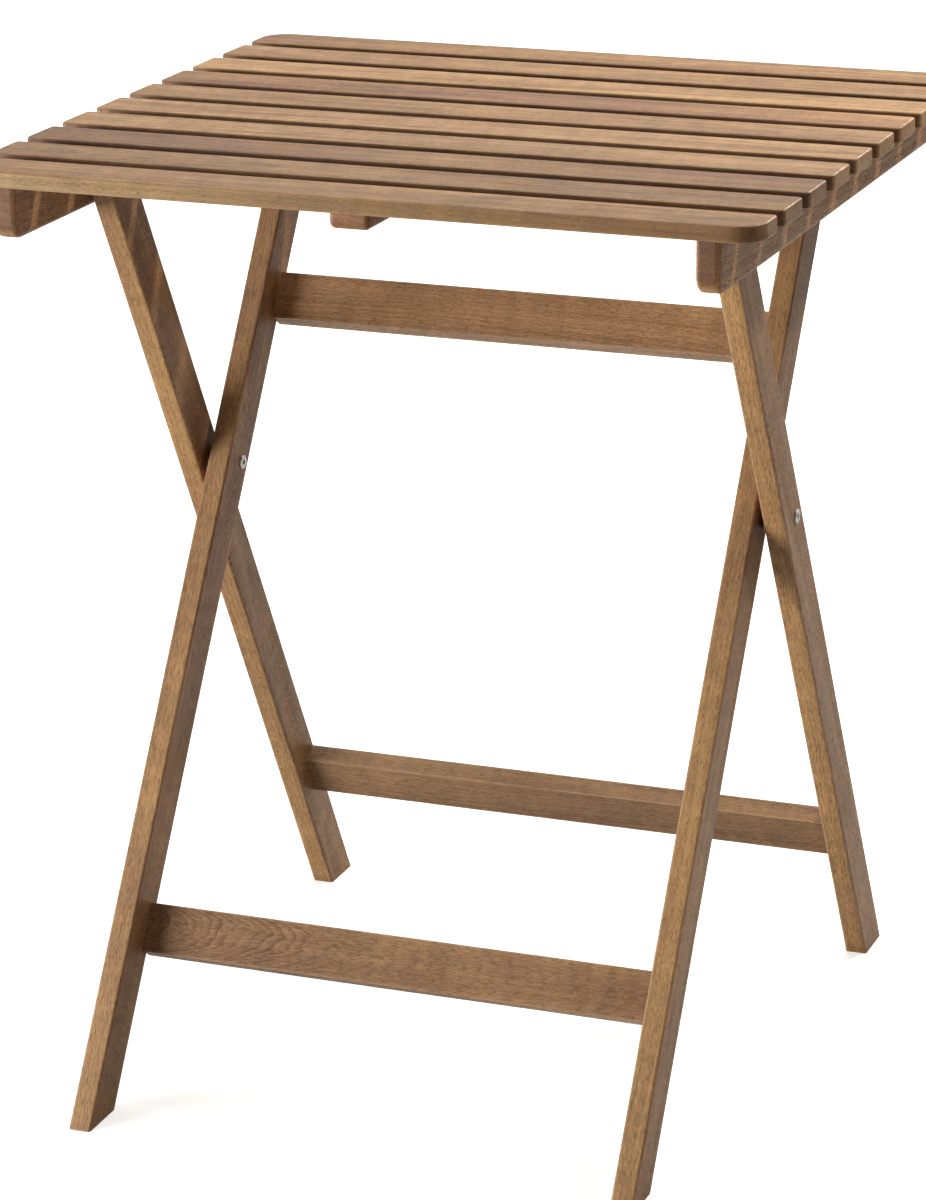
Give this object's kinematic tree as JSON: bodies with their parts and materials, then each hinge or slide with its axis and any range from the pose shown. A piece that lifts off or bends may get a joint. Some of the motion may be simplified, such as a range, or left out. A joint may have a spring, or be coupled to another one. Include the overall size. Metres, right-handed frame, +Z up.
{
  "type": "folding table",
  "caption": "Folding wooden garden table: slatted square top on two crossed leg frames, with the legs and the top folding flat in line.",
  "frame": {"origin": "on the ground, at the middle of the open table's footprint", "axes": "+X along the slats to the right as seen from the front, +Y from the front edge to the back edge, +Z up"},
  "size_m": [0.6, 0.6052, 0.722],
  "materials": {
    "top_wood": "brown-stained acacia, oiled satin",
    "batten_wood": "brown-stained acacia, oiled satin",
    "frame_wood": "brown-stained acacia, oiled satin",
    "dowel_wood": "plain beech, unfinished",
    "screw_steel": "bright zinc-plated",
    "pivot_steel": "bright stainless",
    "spacer_plastic": "black nylon"
  },
  "bodies": {
    "outer_frame": {"left_outer_leg": "frame_wood", "right_outer_leg": "frame_wood", "rear_rail": "frame_wood", "rear_rail_dowels": "dowel_wood", "left_leg_pivot_spacer": "spacer_plastic", "right_leg_pivot_spacer": "spacer_plastic"},
    "inner_frame": {"left_inner_leg": "frame_wood", "right_inner_leg": "frame_wood", "upper_rail": "frame_wood", "upper_rail_dowels": "dowel_wood", "front_rail": "frame_wood", "front_rail_dowels": "dowel_wood", "rest_bar": "frame_wood", "left_leg_pivot_sleeve": "pivot_steel", "right_leg_pivot_sleeve": "pivot_steel", "left_leg_pivot_bolt": "pivot_steel", "right_leg_pivot_bolt": "pivot_steel"},
    "tabletop": {"slat_01": "top_wood", "slat_02": "top_wood", "slat_03": "top_wood", "slat_04": "top_wood", "slat_05": "top_wood", "slat_06": "top_wood", "slat_07": "top_wood", "slat_08": "top_wood", "slat_09": "top_wood", "slat_10": "top_wood", "left_side_batten": "batten_wood", "right_side_batten": "batten_wood", "middle_batten": "batten_wood", "left_batten_screws": "screw_steel", "right_batten_screws": "screw_steel", "middle_batten_screws": "screw_steel", "left_rest_block": "batten_wood", "right_rest_block": "batten_wood", "rest_block_screws": "screw_steel", "left_top_hinge_screw": "screw_steel", "right_top_hinge_screw": "screw_steel", "left_top_hinge_spacer": "spacer_plastic", "right_top_hinge_spacer": "spacer_plastic"}
  },
  "joints": [
    {"name": "top_tilt", "type": "hinge", "parent": "outer_frame", "child": "tabletop", "pos_m": [0, -0.14459, 0.69], "axis": [1, 0, 0], "range_deg": [0, 118]},
    {"name": "leg_scissor", "type": "hinge", "parent": "outer_frame", "child": "inner_frame", "pos_m": [0, 0.00654, 0.43824], "axis": [1, 0, 0], "range_deg": [0, 57.5]}
  ],
  "couplings": [
    {"joint": "leg_scissor", "follows": "top_tilt", "ratio": 0.4872}
  ]
}
